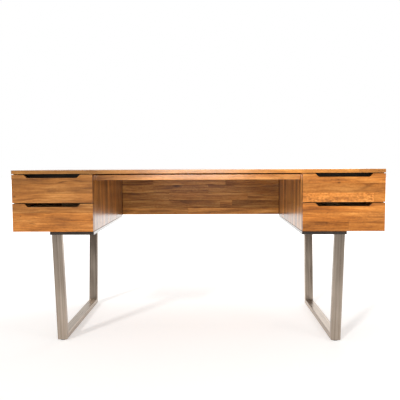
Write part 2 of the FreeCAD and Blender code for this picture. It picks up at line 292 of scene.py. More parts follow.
# %% World
STUDIO_DARK = (0.05, 0.045, 0.04, 1.0)
ROOM_FROM, ROOM_TO = 0.35, -0.35
AMBIENT = 0.18
OVERHEAD = 0.40
LOW_PANELS = 1.6
PANEL_TOP = 0.35
PANEL_LEFT, PANEL_RIGHT = 1.15, 0.85
BACKDROP_LEFT_X, BACKDROP_RIGHT_X, BACKDROP_RIGHT = -0.15, 0.22, 1.65


def studio_world():
    """White to the camera, and soft light that is AMBIENT all round, plus OVERHEAD and the low panels."""
    world = bpy.data.worlds.new("studio")
    world.use_nodes = True
    recipe = Recipe("studio", world.node_tree)
    mirrored, seen = ray_kinds(recipe)
    x = recipe.add("SeparateXYZ", {0: recipe.add("TexCoord", {}, out="Generated")}, out="X")
    y, z = x.node.outputs["Y"], x.node.outputs["Z"]
    towards_room = recipe.range(y, ROOM_TO, ROOM_FROM, 1.0, 0.0)
    colour = recipe.mix(recipe.times(mirrored, towards_room), WHITE, STUDIO_DARK)
    panels = recipe.times(recipe.range(z, 0.0, PANEL_TOP, LOW_PANELS, 0.0),
                          recipe.range(x, -1.0, 1.0, PANEL_LEFT, PANEL_RIGHT))
    soft = recipe.plus(recipe.range(z, 0.0, 1.0, AMBIENT, AMBIENT + OVERHEAD), panels)
    lit_backdrop = recipe.range(x, BACKDROP_LEFT_X, BACKDROP_RIGHT_X, 1.0, BACKDROP_RIGHT)
    strength = recipe.range(seen, 0.0, 1.0, soft, recipe.range(mirrored, 0.0, 1.0, 1.0, lit_backdrop))
    shader = recipe.add("Background", {"Color": colour, "Strength": strength})
    output = world.node_tree.nodes.new("ShaderNodeOutputWorld")
    world.node_tree.links.new(shader, output.inputs["Surface"])
    return world


bpy.context.scene.world = studio_world()
print("soft light", AMBIENT, "all round and", LOW_PANELS, "from the low panels")

# %% [markdown]
# ## The lamps
#
# The shadows on the photographed floor run back to the right from each upright, so the main lamp stood
# front left, about 30 degrees up. Fainter shadows run the other way from a lamp front right, and the
# bright middle of the apron and of the worktop's edge mirrors a soft box behind the camera. The main lamp
# is a sun lamp with a wide disc, because its light must not fall off across the floor. Each lamp's level
# is what a white card that faces it would show, so that the sum can be kept near one.

# %% Hang the lamps
AIM = Vector((0.0, 0.0, 0.5))
SUN_DISTANCE = 4.0


def hang(name, kind, turn, rise, distance, level, mirrored):
    """A lamp at an angle from the front, aimed at the desk, with or without an image in shiny surfaces."""
    a, e = math.radians(turn), math.radians(rise)
    towards = Vector((math.sin(a) * math.cos(e), -math.cos(a) * math.cos(e), math.sin(e)))
    lamp = bpy.data.lights.new(name, kind)
    holder = bpy.data.objects.new(name, lamp)
    holder.location = AIM + towards * distance
    holder.rotation_mode = "QUATERNION"
    holder.rotation_quaternion = towards.to_track_quat("Z", "Y")
    holder.visible_camera = False
    holder.visible_glossy = mirrored
    bpy.context.scene.collection.objects.link(holder)
    print(name, "level", level)
    return lamp


def sun_lamp(name, turn, rise, disc, level):
    """A lamp with parallel light and a disc of that many degrees. Its strength is pi times the level."""
    lamp = hang(name, "SUN", turn, rise, SUN_DISTANCE, level, True)
    lamp.angle = math.radians(disc)
    lamp.energy = math.pi * level


def soft_box(name, turn, rise, distance, width, height, level, mirrored=False):
    """A rectangular lamp. Its power is the level times the square of pi times the distance."""
    lamp = hang(name, "AREA", turn, rise, distance, level, mirrored)
    lamp.shape = "RECTANGLE"
    lamp.size = width
    lamp.size_y = height
    lamp.energy = level * (math.pi * distance) ** 2


sun_lamp("key_front_left", -31, 29, 6, 0.42)
soft_box("fill_front_right", 47, 13, 2.6, 0.8, 0.8, 0.12)
soft_box("box_behind_camera", -2, 6.2, 3.5, 1.0, 0.55, 0.12, mirrored=True)
soft_box("lamp_on_backdrop", 155, 24, 3.2, 1.4, 0.8, 0.12)

# %% [markdown]
# ## Boards made of staves
#
# Each wide board of this desk is glued up from staves about 45 mm wide, and the staves of the long boards
# are made of shorter lengths, butted end to end. That is what gives the wood its patchwork. One could
# paint stripes on a box. Here the section across the grain is drawn as a profile, with rounded corners, a
# hairline groove at each glue line and a crown of a few hundredths of a millimetre on each stave, and the
# profile is carried along the grain. At both ends it is drawn in on a quarter circle, so the end edges are
# softened too.

# %% Profile of a board
EDGE_EASE = 0.0010
END_EASE = 0.0010
GLUE_GROOVE = 0.00025
STAVE_CROWN = 0.00005
ARC_STEPS = 4
FACE_STEPS = 5


def section(bounds, thickness, groove):
    """Closed section of a board across the grain: points, outward normals, rim and glue values.

    bounds are the stave edges across the board. The upper half runs from the left side over a quarter
    circle, along each stave's crowned face (a parabola) with a V at each glue line, and down a quarter
    circle to the right side. The lower half is the same, mirrored. rim is 0 on flats and 1 in mid arc, and
    glue is 1 at the bottom of each V."""
    half, inner = thickness / 2, bounds[1:-1]
    low = np.r_[bounds[0] + EDGE_EASE, inner + groove]
    high = np.r_[inner - groove, bounds[-1] - EDGE_EASE]
    share = np.linspace(0, 1, FACE_STEPS)
    across = low[:, None] + (high - low)[:, None] * share
    crown = np.tile(half + STAVE_CROWN * 4 * share * (1 - share), (len(low), 1))
    face_w = np.column_stack([across, bounds[1:]]).ravel()[:-1]
    face_h = np.column_stack([crown, np.full(len(low), half - groove)]).ravel()[:-1]
    turn = np.linspace(np.pi, np.pi / 2, ARC_STEPS + 1)[:-1]
    arc = np.column_stack([np.cos(turn), np.sin(turn)])
    mirrored_arc = (arc * [-1, 1])[::-1]
    left = np.array([bounds[0] + EDGE_EASE, half - EDGE_EASE]) + EDGE_EASE * arc
    right = np.array([bounds[-1] - EDGE_EASE, half - EDGE_EASE]) + EDGE_EASE * mirrored_arc
    upper = np.vstack([left, np.column_stack([face_w, face_h]), right])
    normal = np.vstack([arc, np.tile([0.0, 1.0], (len(face_w), 1)), mirrored_arc])
    rim = np.abs(2 * normal[:, 0] * normal[:, 1])
    glue = np.zeros(len(upper))
    glue[ARC_STEPS + FACE_STEPS:-ARC_STEPS:FACE_STEPS + 1] = 1.0
    points = np.vstack([upper, (upper * [1, -1])[::-1]])
    normals = np.vstack([normal, (normal * [1, -1])[::-1]])
    return points, normals, np.r_[rim, rim[::-1]], np.r_[glue, glue[::-1]]


def end_rings(length, between):
    """Places along the grain, with how far each ring is drawn in and its rim value."""
    turn = np.linspace(np.pi / 2, 0, ARC_STEPS + 1)
    start = -length / 2 + END_EASE * (1 - np.sin(turn))
    drawn = END_EASE * (1 - np.cos(turn))
    rim = np.sin(2 * turn)
    flat = np.zeros(len(between))
    along = np.r_[start, between, -start[::-1]]
    return along, np.r_[drawn, flat, drawn[::-1]], np.r_[rim, flat, rim[::-1]]


sample = section(np.linspace(-0.06, 0.06, 4), 0.02, GLUE_GROOVE)
print("a section of 3 staves has", len(sample[0]), "points")

# %% [markdown]
# ## The lay-up of a board
#
# A lay-up says how a board is put together: for each stave the places where it is cut, and for each length
# its tone, its warmth and how curly its figure is. Next to the cut plan, each length remembers where in its
# log it was sawn. The log coordinates are the board's own ones, turned about the grain and shifted by a
# random amount. They are stored at the corners of the faces as an attribute, and the wood finish reads
# them, so that face grain, edge grain and end grain belong together.

# %% Cut plan and sawing
LOG_LENGTH = 6.0
PITH_NEAR, PITH_FAR = 0.03, 0.12
SAW_TURN = 0.9


def whole(*looks):
    """Staves that run the full length of the board."""
    return [((), [look]) for look in looks]


def mixed(seed, tones, cuts=0, spread=0.10, warmth=0.3, figure=0.25):
    """Staves of a natural run of tones about the given ones, cut into lengths at random places."""
    random = np.random.default_rng(seed)
    lay_up = []
    for tone in tones:
        places = (np.arange(cuts) + random.uniform(0.15, 0.85)) / max(cuts, 1)
        varied = tone + spread * np.clip(random.normal(0, 1, cuts + 1), -2, 2)
        curls = random.uniform(0, 2 * figure, cuts + 1)
        lay_up.append((places, np.column_stack([varied, np.full(cuts + 1, warmth), curls])))
    return lay_up


def cut_plan(lay_up, length):
    """Cuts and looks of all staves as two tables. Staves with fewer cuts get cuts past the board's end."""
    most = max(len(cuts) for cuts, looks in lay_up)
    places = np.full((len(lay_up), most), np.inf)
    looks = np.zeros((len(lay_up), most + 1, 3))
    for stave, (cuts, lengths) in enumerate(lay_up):
        places[stave, :len(cuts)] = (np.asarray(cuts, float) - 0.5) * length
        looks[stave, :len(lengths)] = lengths
    return places, looks


def log_coordinates(local, stave, cut, middles, random, shape):
    """Where each corner lay in its log: along the grain, and the two distances from the pith.

    Across and through are turned by the length's own angle, then moved out to its own distance."""
    shift = random.uniform(0, LOG_LENGTH, shape)[stave, cut]
    angle = (random.uniform(-SAW_TURN, SAW_TURN, shape) + random.choice([0, np.pi], shape))[stave, cut]
    out = random.uniform(PITH_NEAR, PITH_FAR, shape)[stave, cut]
    w, t = local[:, 1] - middles[stave], local[:, 2]
    c, s = np.cos(angle), np.sin(angle)
    return np.column_stack([local[:, 0] + shift, c * w - s * t, s * w + c * t + out])


print("logs are", LOG_LENGTH, "m long")

# %% [markdown]
# Every new piece is a closed skin made from arrays. Its faces have to look outward, which the sign of the
# volume tells, and it rides on the body of the node that it stands for. Values for the finish are kept on
# the mesh by name.

# %% Pieces from arrays


def loop_quads(rows, columns):
    """Quads of a grid of points whose rows are closed loops."""
    j = np.arange(columns)
    k = (j + 1) % columns
    i = np.arange(rows - 1)[:, None] * columns
    return np.stack([i + j, i + k, i + columns + k, i + columns + j], -1).reshape(-1, 4)


def outward(points, quads):
    """The same quads, turned over if the closed skin's signed volume is negative."""
    a, b, c, d = (points[quads[:, k]] for k in range(4))
    volume = np.einsum("ij,ij->", a, np.cross(b, c)) + np.einsum("ij,ij->", a, np.cross(c, d))
    return quads if volume > 0 else quads[:, ::-1]


def add_piece(name, points, quads, material, body, replaced, fans=np.empty((0, 3), int)):
    """Puts arrays into a mesh object that rides on a body and stands for the replaced node."""
    mesh = bpy.data.meshes.new(name)
    mesh.from_pydata(points.tolist(), [], quads.tolist() + fans.tolist())
    mesh.materials.append(material)
    piece = bpy.data.objects.new(name, mesh)
    bpy.context.scene.collection.objects.link(piece)
    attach(piece, body)
    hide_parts(replaced)
    return piece


def smooth_but_crisp(piece, sharp_degrees=30):
    """Smooth shading that keeps flat faces flat: sharp creases are marked and normals weighted by area."""
    piece.data.shade_smooth()
    piece.data.set_sharp_from_angle(angle=math.radians(sharp_degrees))
    weighted = piece.modifiers.new("flat_faces", "WEIGHTED_NORMAL")
    weighted.keep_sharp = True


def keep(piece, name, kind, domain, values):
    """Stores an array on the mesh as a named attribute."""
    field = "value" if kind == "FLOAT" else "vector"
    flat = np.ascontiguousarray(values, np.float32).ravel()
    piece.data.attributes.new(name, kind, domain).data.foreach_set(field, flat)


# %% [markdown]
# The grid of a board has one column for each point of the section and one row for each ring. A ladder of
# quads from the upper to the lower half closes each end. Where a length ends, three close rings make the
# same hairline groove across the stave that the glue lines have along it.

# %% Build a board
AXES = "XYZ"
BUTT_HALF = 0.0003
END_GRAIN_TONE = 0.55


def stave_board(node, grain, across, edges, lay_up, material, groove=GLUE_GROOVE, seam=0.0,
                fade=((0.5, 1.0),), fade_edge=False, between=(), drop=None, brow_painted_shade=1.0,
                name="staves", corners=None):
    """A glued-up board in the place of a node of the frame.

    The surface is P(ring, point) = place along the grain, and section point less drawn-in times its normal.
    edges are the stave edges as shares of the width, groove is the depth of the glue lines and seam the
    width of the dark line where the ends meet other boards. fade lists shares of the length with the shade
    of the first stave there, or with fade_edge of its edge only; the tables given for the top and the apron
    put painted shade and a painted highlight into it. drop lowers the upper edge along the grain, for a
    pull, between gives the rings that it needs, and the brow argument darkens that edge as painted shade.
    corners are the board's own, where the node is made of two boards."""
    low, high = (np.array(corner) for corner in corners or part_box(node))
    g, w = AXES.index(grain), AXES.index(across)
    t = 3 - g - w
    size, middle = high - low, (high + low) / 2
    random = np.random.default_rng(zlib.crc32(node.encode()))
    bounds = (np.asarray(edges) - 0.5) * size[w]
    places, looks = cut_plan(lay_up, size[g])
    fade_share, fade_shade = np.transpose(fade)
    fade_place = (fade_share - 0.5) * size[g]
    inner_end = size[g] / 2 - max(seam, 2 * END_EASE)
    butts = places[np.isfinite(places)][:, None] + BUTT_HALF * np.arange(-1, 2)
    points, normals, rim, glue = section(bounds, size[t], groove)
    stations = np.unique(np.r_[between, butts.ravel(), fade_place, inner_end, -inner_end])
    along, drawn, ring_rim = end_rings(size[g], stations)
    of_point = np.searchsorted(bounds[1:-1], points[:, 0])
    butt = (np.abs(along[:, None, None] - places) < BUTT_HALF / 2).any(2)[:, of_point]
    rows, columns = butt.shape
    local = np.empty((rows, columns, 3))
    local[..., 0] = along[:, None]
    local[..., 1:] = points - (drawn[:, None] + GLUE_GROOVE * butt)[..., None] * normals
    if drop is not None:
        local[..., 1] -= drop(local[..., 0], local[..., 1], size[w])
    skin = loop_quads(rows, columns)
    m = np.arange(columns // 2 - 1)
    rung = np.column_stack([m, m + 1, columns - 2 - m, columns - 1 - m])
    quads = np.vstack([skin, rung[:, ::-1], rung + (rows - 1) * columns])
    local = local.reshape(-1, 3)
    placed = np.empty_like(local)
    placed[:, [g, w, t]] = local + middle[[g, w, t]]
    skin_w = np.tile(points[:, 0] + np.roll(points[:, 0], -1), rows - 1)
    rung_w = np.tile(points[m, 0] + points[m + 1, 0], 2)
    centre_w = np.r_[skin_w, rung_w] / 2
    centre_g = np.r_[np.repeat(along[1:] + along[:-1], columns) / 2, np.repeat(along[[0, -1]], len(m))]
    stave = np.searchsorted(bounds[1:-1], centre_w)
    cut = (centre_g[:, None] > places[stave]).sum(1)
    quads = outward(placed, quads)
    body = frame["nodes"][node]["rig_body"]
    piece = add_piece(node + "." + name, placed, quads, material, body, node)
    face_looks = looks[stave, cut]
    face_looks[len(skin):, 0] *= END_GRAIN_TONE
    # The brow is the upper edge, with a pull's cut faces. Its darkening is painted shade under the top and
    # inside the pull.
    brow = np.tile(normals[:, 0] + np.roll(normals[:, 0], -1) > 1.0, rows - 1)
    face_looks[:len(skin), 0] *= np.where(brow, brow_painted_shade, 1.0)
    middles = (bounds[1:] + bounds[:-1]) / 2
    sawn = (local[quads.ravel()], np.repeat(stave, 4), np.repeat(cut, 4))
    keep(piece, "log", "FLOAT_VECTOR", "CORNER", log_coordinates(*sawn, middles, random, looks.shape[:2]))
    keep(piece, "stave", "FLOAT_VECTOR", "FACE", face_looks)
    keep(piece, "rim", "FLOAT", "POINT", np.maximum(rim, ring_rim[:, None]))
    in_seam = (np.abs(along) > inner_end + END_EASE / 2) & (seam > 0)
    keep(piece, "joint", "FLOAT", "POINT", np.maximum(np.maximum(glue, butt), in_seam[:, None]))
    shade = np.interp(along, fade_place, fade_shade)[:, None]
    shaded = normals[:, 0] < -0.1 if fade_edge else of_point == 0
    keep(piece, "shade", "FLOAT", "POINT", np.where(shaded, shade, 1.0))
    smooth_but_crisp(piece)
    return piece


print("axes of a board: along the grain, across it and through it")

# %% [markdown]
# ## Lacquered hardwood
#
# The wood is a warm honey brown with soft clouds, short darker streaks, some knots and here and there a
# curly figure, under a satin lacquer. An image could be wrapped on each board. This finish is a solid
# texture instead: growth rings are distances from the pith, clouds, streaks and fibres are noise drawn out
# along the grain, and all of them are read at the place in the log where the length was sawn.

# %% Figure of the wood
RING_WIDTH = 0.0075
SWAY, RIPPLE = (0.0, 0.032, 0.032), (0.0, 0.011, 0.011)


def bent_grain(recipe, log):
    """Log coordinates that sway slowly and ripple quickly across the grain."""
    swayed = recipe.vector("ADD", log, recipe.stray(log, (1.8, 9.0, 9.0), SWAY))
    return recipe.vector("ADD", swayed, recipe.stray(log, (10.0, 24.0, 24.0), RIPPLE))


def wood_figure(recipe, log, bent, curl, contrast):
    """Figure of the wood about 0.5, and its fibres: clouds, streaks, rings, fibres and curls, added up."""
    radius = recipe.vector("LENGTH", recipe.vector("MULTIPLY", bent, (0.0, 1.0, 1.0)), out="Value")
    ring = recipe.math("FRACT", recipe.math("DIVIDE", radius, RING_WIDTH))
    rings = recipe.ramp(ring, (0.0, 0.62), (0.60, 0.55), (0.90, 0.18), (1.0, 0.62))
    fibres = recipe.noise(log, (11.0, 620.0, 620.0))
    cloud = recipe.noise(bent, (4.2, 30.0, 30.0))
    streak = recipe.noise(bent, (8.0, 115.0, 115.0), 4.0, 0.6)
    mottle = recipe.noise(bent, (95.0, 120.0, 120.0), 1.0)
    patches = recipe.range(recipe.noise(log, (7.0, 25.0, 25.0), 1.0), 0.38, 0.62, 0.45, 1.0)
    curls = recipe.times(recipe.swing(mottle, 1.05), curl, patches)
    parts = ((cloud, 1.0), (streak, 0.80), (rings, 0.28), (fibres, 0.32))
    swings = [recipe.swing(part, amount * contrast) for part, amount in parts]
    return recipe.plus(0.5, *swings, curls), fibres


def wood_marks(recipe, log, bent, depth):
    """Pores, and darker marks of the given depth: mineral streaks, short flecks and a few knots."""
    pores = recipe.ramp(recipe.noise(log, (55.0, 1000.0, 1000.0), 1.0), (0.60, 0.0), (0.70, 1.0))
    mineral = recipe.ramp(recipe.noise(bent, (4.5, 75.0, 75.0), 3.0), (0.30, 0.40), (0.40, 0.0))
    flecks = recipe.ramp(recipe.noise(bent, (26.0, 210.0, 210.0), 1.0), (0.66, 0.0), (0.78, 0.45))
    cells = {"Vector": recipe.vector("MULTIPLY", bent, (5.0, 16.0, 16.0)), "Scale": 1.0}
    near = recipe.add("TexVoronoi", cells, out="Distance")
    chance = recipe.add("SeparateXYZ", {0: near.node.outputs["Color"]}, out="X")
    rare = recipe.math("GREATER_THAN", chance, 0.70)
    knots = recipe.times(recipe.ramp(near, (0.05, 0.75), (0.15, 0.0)), rare)
    marks = recipe.math("MAXIMUM", recipe.math("MAXIMUM", mineral, flecks), knots)
    return pores, recipe.times(marks, depth)


print("growth rings are", 1000 * RING_WIDTH, "mm wide")

# %% [markdown]
# Some knots and streaks of the drawer fronts can be made out one by one, so each of those is listed. Each
# is an oval: a Mapping node counts places from its middle in its own half sizes, and the length of that
# vector says how far out a point is. A little noise on the place makes the ovals irregular.

# %% Marks in their places


def placed_marks(recipe, node, marks):
    """Darkness of the marks on a board: it falls from each one's depth to zero around its oval.

    A mark is (u, v, tilt, half length, half height, depth): u and v are shares of the board's front, the
    tilt is in degrees and the sizes are in millimetres."""
    low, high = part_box(node)
    place = recipe.place()
    loose = recipe.vector("ADD", place, recipe.stray(place, (90.0, 90.0, 240.0), (0.010, 0.0, 0.004), 3.0))
    flat = recipe.vector("MULTIPLY", loose, (1.0, 0.0, 1.0))
    darkness = 0.0
    for u, v, tilt, half_length, half_height, depth in marks:
        oval = {
            "Vector": flat,
            "Location": (low.x + u * (high.x - low.x), 0.0, low.z + v * (high.z - low.z)),
            "Rotation": (0.0, -math.radians(tilt), 0.0),
            "Scale": (half_length / 1000, 1.0, half_height / 1000),
        }
        out = recipe.vector("LENGTH", recipe.add("Mapping", oval, vector_type="TEXTURE"), out="Value")
        darkness = recipe.math("MAXIMUM", darkness, recipe.range(out, 0.3, 1.2, depth, 0.0))
    return darkness


print("marks are ovals with a soft rim")

# %% [markdown]
# The figure picks a colour from three: the dark of latewood and streaks, the body of the wood, and its
# lights. Tone and warmth of the length come on top, then pores, marks, joints and the paler wear of the
# edges. The lacquer is the shader's coat: thin, clear and a little smoother than the wood under it.

# %% Wood finish
HONEY = {"dark": (0.180, 0.066, 0.018), "body": (0.440, 0.177, 0.041), "light": (0.680, 0.326, 0.096)}
SHADED = {"dark": (0.190, 0.074, 0.018), "body": (0.440, 0.187, 0.041), "light": (0.680, 0.344, 0.096)}
PALE = {"dark": (0.46, 0.31, 0.17), "body": (0.62, 0.46, 0.28), "light": (0.72, 0.57, 0.38)}
# DARK is the stain of the mounting boards, and painted shade on the top rails.
DARK = {"dark": (0.014, 0.009, 0.006), "body": (0.030, 0.021, 0.014), "light": (0.055, 0.040, 0.028)}
WARM_TINT = (1.15, 0.86, 0.42, 1.0)
GRAIN_TURNS = {"X": (0.0, 0.0, 0.0), "Y": (0.0, 0.0, -math.pi / 2), "Z": (0.0, math.pi / 2, 0.0)}
LOG_PLACE = (0.3, 0.05, 0.12)
PLAIN_LOOK = (1.0, 0.2, 0.1, 0.0, 0.0)
LACQUER_GLOSS = 0.20
MARK_TINT = (0.22, 0.20, 0.26, 1.0)
SEAM = (0.030, 0.013, 0.006, 1.0)
EDGE_WEAR, PORE_DARKNESS, SEAM_DARKNESS = 0.18, 0.40, 0.9


def lacquered_wood(name, palette, grain=None, gloss=0.32, coat=0.6, shine=0.2, contrast=1.0, marks=None):
    """Wood under satin lacquer. With a grain axis it reads Object coordinates, else the boards' attributes.

    gloss is the roughness of the wood, shine its specular level, and coat the weight of the lacquer. Boards
    without attributes get PLAIN_LOOK: tone, warmth, curl, rim and joint."""
    recipe = Recipe(name)
    if grain is None:
        log = recipe.attribute("log", "Vector")
        length_tone = recipe.add("SeparateXYZ", {0: recipe.attribute("stave", "Vector")}, out="X")
        warmth, curl = length_tone.node.outputs["Y"], length_tone.node.outputs["Z"]
        # The shade attribute is the wood's tone along a board. For the top's edge and the apron it also
        # holds painted shade and a painted highlight.
        tone = recipe.times(length_tone, recipe.attribute("shade"))
        rim, joint = recipe.attribute("rim"), recipe.attribute("joint")
    else:
        turned_log = {"Vector": recipe.place(), "Location": LOG_PLACE, "Rotation": GRAIN_TURNS[grain]}
        log = recipe.add("Mapping", turned_log)
        tone, warmth, curl, rim, joint = PLAIN_LOOK
    bent = bent_grain(recipe, log)
    figure, fibres = wood_figure(recipe, log, bent, curl, contrast)
    pores, dark_marks = wood_marks(recipe, log, bent, contrast ** 2)
    if marks is not None:
        dark_marks = recipe.math("MAXIMUM", dark_marks, placed_marks(recipe, *marks))
    colour = recipe.ramp(figure, (0.18, palette["dark"]), (0.50, palette["body"]), (0.82, palette["light"]))
    redness = recipe.swing(recipe.noise(log, (2.4, 16.0, 16.0)), 0.9)
    warmth = recipe.math("ADD", warmth, redness, clamp=True)
    colour = recipe.mix(warmth, colour, recipe.mix(1.0, colour, WARM_TINT, "MULTIPLY"))
    worn = recipe.times(rim, recipe.noise(log, (14.0, 60.0, 60.0)), EDGE_WEAR)
    colour = recipe.mix(worn, colour, (*palette["light"], 1.0))
    colour = recipe.scale(colour, tone)
    colour = recipe.mix(recipe.times(pores, PORE_DARKNESS), colour, (*palette["dark"], 1.0))
    colour = recipe.mix(dark_marks, colour, recipe.mix(1.0, colour, MARK_TINT, "MULTIPLY"))
    colour = recipe.mix(recipe.times(joint, SEAM_DARKNESS), colour, SEAM)
    rubbed = recipe.swing(recipe.noise(log, (7.0, 12.0, 12.0)), 0.16)
    rough = recipe.plus(recipe.range(fibres, 0.2, 0.8, gloss * 0.8, gloss * 1.3), rubbed)
    relief = recipe.math("SUBTRACT", recipe.times(fibres, 0.35), pores)
    return recipe.principled({
        "Base Color": colour,
        "Roughness": rough,
        "Normal": recipe.bump(relief, 0.2, 0.0002),
        "Specular IOR Level": shine,
        "Coat Weight": coat,
        "Coat Roughness": LACQUER_GLOSS,
    })


honey_boards = lacquered_wood("honey_hardwood_boards", HONEY)
honey_edges = lacquered_wood("honey_hardwood_edges", SHADED, coat=1.0, contrast=0.7)
honey_sides = lacquered_wood("honey_hardwood_sides", SHADED, coat=0.85, shine=0.4, contrast=1.2)
honey_bare = lacquered_wood("honey_hardwood_bare", HONEY, gloss=0.8, coat=0.0, shine=0.0)
honey_modesty = lacquered_wood("honey_hardwood_modesty", SHADED, coat=0.2, shine=0.1, contrast=1.1)
print("wood finish", honey_boards.name, "with", len(honey_boards.node_tree.nodes), "nodes")

# %% [markdown]
# ## The top, the sides and the boards of the knee space
#
# Grain runs along the desk in the top, the apron, the modesty panel and the back boards, and upright in
# the pedestal sides, as the photograph shows. The front stave of the top and the apron start darker on the
# left, partly in their wood and partly as painted shade, and the top's edge has a painted highlight about
# two thirds along. The apron's tone is raised well above the other boards' as painted light, against the
# shade under the top. The inner sides have light and dark staves in turn, and the left one is darker and
# the right one lighter, partly in their wood and partly as painted shade and painted light. Widths and cuts
# follow what can be made out.

# %% Glue up the boards
TOP_STAVES, SIDE_STAVES, BACK_STAVES = 16, 15, 5
# Inner sides: hand, seed, tones of the inner staves in turn, and warmth. The left side's tones are lowered
# as painted shade and the right side's raised as painted light, on top of their wood.
inner_sides = [("left", 21, (0.73, 0.57), 0.45), ("right", 22, (1.45, 0.92), 0.05)]
top_edge = [((0.93,), [(1.45, 0.35, 0.2), (1.32, 0.4, 0.3)])]
# Shade of the top's front edge along its length: partly its wood, partly painted shade on the left and a
# painted highlight about two thirds along.
TOP_EDGE_TONE_AND_PAINTED_LIGHT = ((0.0, 0.53), (0.22, 0.46), (0.33, 0.95), (0.58, 1.0), (0.66, 1.35), (0.85, 0.90))
# The apron's tone, well above the other boards', is painted light against the shade under the top.
apron = whole((2.25, 0.1, 0.1))
# Shade of the apron along its length: darker at the left end, as painted shade beside the left pedestal.
APRON_TONE_AND_PAINTED_SHADE = ((0.0, 0.38), (0.12, 0.66), (0.30, 1.05), (0.58, 1.05), (0.70, 0.95))
# Painted shade on upper edges: under the top and inside each pull.
PULL_PAINTED_SHADE = 0.25
APRON_GAP = 0.006
APRON_TONGUE = 0.012
# The tongue's tone is nearly black: painted shade in the open joint.
TONGUE_PAINTED_SHADE = (0.16, 0.2, 0.1)
MODESTY_GROOVE = 0.0007
MODESTY_SEAM = 0.004
modesty_edges = [0, 0.155, 0.33, 0.51, 0.69, 0.86, 1]
modesty = [
    ((0.42,), [(1.15, 0.0, 0.2), (1.36, 0.0, 0.2)]),
    ((0.625, 0.70), [(0.78, 0.0, 0.3), (1.02, 0.0, 0.2), (0.74, 0.0, 0.3)]),
    ((0.30, 0.80), [(0.88, 0.1, 0.2), (0.96, 0.1, 0.2), (0.86, 0.0, 0.2)]),
    ((0.55,), [(0.90, 0.0, 0.4), (0.84, 0.0, 0.3)]),
    ((0.20, 0.66), [(0.95, 0.0, 0.3), (1.05, 0.0, 0.2), (1.00, 0.0, 0.3)]),
    ((0.28,), [(1.35, 0.0, 0.2), (1.60, 0.0, 0.2)]),
]


def even(count):
    """Edges of staves that are all of one width, as shares of the board's width."""
    return np.linspace(0, 1, count + 1)


def uneven(count, seed):
    """Edges of staves whose widths vary by up to half."""
    widths = np.random.default_rng(seed).uniform(0.5, 1.5, count)
    return np.r_[0, np.cumsum(widths)] / widths.sum()


top = top_edge + mixed(3, [1.2] * (TOP_STAVES - 1), 3)
boards = [
    ("desk_top", "X", "Y", even(TOP_STAVES), top, honey_edges, GLUE_GROOVE, 0, TOP_EDGE_TONE_AND_PAINTED_LIGHT, True),
    ("modesty_panel", "X", "Z", modesty_edges, modesty, honey_modesty, MODESTY_GROOVE, MODESTY_SEAM),
]
for hand, seed, tones, warmth in inner_sides:
    outer = mixed(seed, [1.0] * SIDE_STAVES, spread=0.12)
    inner = mixed(seed + 2, np.resize(tones, SIDE_STAVES), spread=0.2, warmth=warmth)
    back = mixed(seed + 4, [1.05] * BACK_STAVES, 1, warmth=0)
    boards += [
        (hand + "_outer_side", "Z", "Y", even(SIDE_STAVES), outer, honey_boards),
        (hand + "_inner_side", "Z", "Y", uneven(SIDE_STAVES, seed), inner, honey_sides),
        (hand + "_pedestal_back", "X", "Z", even(BACK_STAVES), back, honey_modesty),
    ]
for board in boards:
    stave_board(*board)
print(len(boards), "boards,", sum(len(board[4]) for board in boards), "staves")

# %% [markdown]
# The apron is a slim rail with a tongue along its rear, which carries it up to the top. In front of the
# tongue an open joint stays, and it reads as a dark line, because little light gets into it and the tongue
# is painted nearly black as painted shade, as is the rail's upper edge. The two are glued together, so
# they are made as two boards that stand for one piece.

# %% The apron and its tongue
low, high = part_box("front_apron")
rail_top = (high.x, high.y, high.z - APRON_GAP)
stave_board("front_apron", "X", "Z", even(1), apron, honey_edges, fade=APRON_TONE_AND_PAINTED_SHADE, brow_painted_shade=PULL_PAINTED_SHADE,
            corners=(tuple(low), rail_top))
stave_board("front_apron", "X", "Z", even(1), whole(TONGUE_PAINTED_SHADE), honey_bare, name="tongue",
            corners=((low.x, high.y - APRON_TONGUE, rail_top[2] - 2 * EDGE_EASE), tuple(high)))
print("open joint", 1000 * APRON_GAP, "mm")

# %% [markdown]
# ## Drawer fronts
#
# A front is a board of three staves with a finger pull sawn into its top edge: a shallow trapezoid with
# slanted ends. A boolean cut would leave a sharp edge. Here the upper edge is lowered along the grain
# instead, and the rounded profile goes down with it, so the pull's edges are as soft as the others.

# %% Finger pulls
PULL_WIDTH = 0.244
PULL_DEPTH = 0.014
PULL_CORNER = 0.002
PULL_BLEND = 0.030


def pull_depth(along):
    """Half the pull's width less the distance from its middle, held between zero and the full depth."""
    return np.clip(PULL_WIDTH / 2 - np.abs(along), 0, PULL_DEPTH)


def pull_drop(along, across, width):
    """How far a point goes down: all the way at the rim, and less and less below it."""
    rim = width / 2 - 2 * EDGE_EASE
    share = np.clip((across - rim + PULL_BLEND) / PULL_BLEND, 0, 1)
    corner = np.linspace(-PULL_CORNER, PULL_CORNER, 7)
    return pull_depth(along[..., None] + corner).mean(-1) * share


def pull_stations():
    """Rings along a front, close together at the pull's four corners."""
    corner = np.linspace(-1.2 * PULL_CORNER, 1.2 * PULL_CORNER, 7)
    inner = PULL_WIDTH / 2 - PULL_DEPTH
    places = np.array([-PULL_WIDTH / 2, -inner, inner, PULL_WIDTH / 2])
    return (places[:, None] + corner).ravel()


print("pulls are", 1000 * PULL_WIDTH, "by", 1000 * PULL_DEPTH, "mm")

# %% [markdown]
# Each front has its own lay-up, from the bottom stave up, and its own marks. The upper right one has a
# curly stave at the bottom, and the lower right one a bottom stave of two lengths.

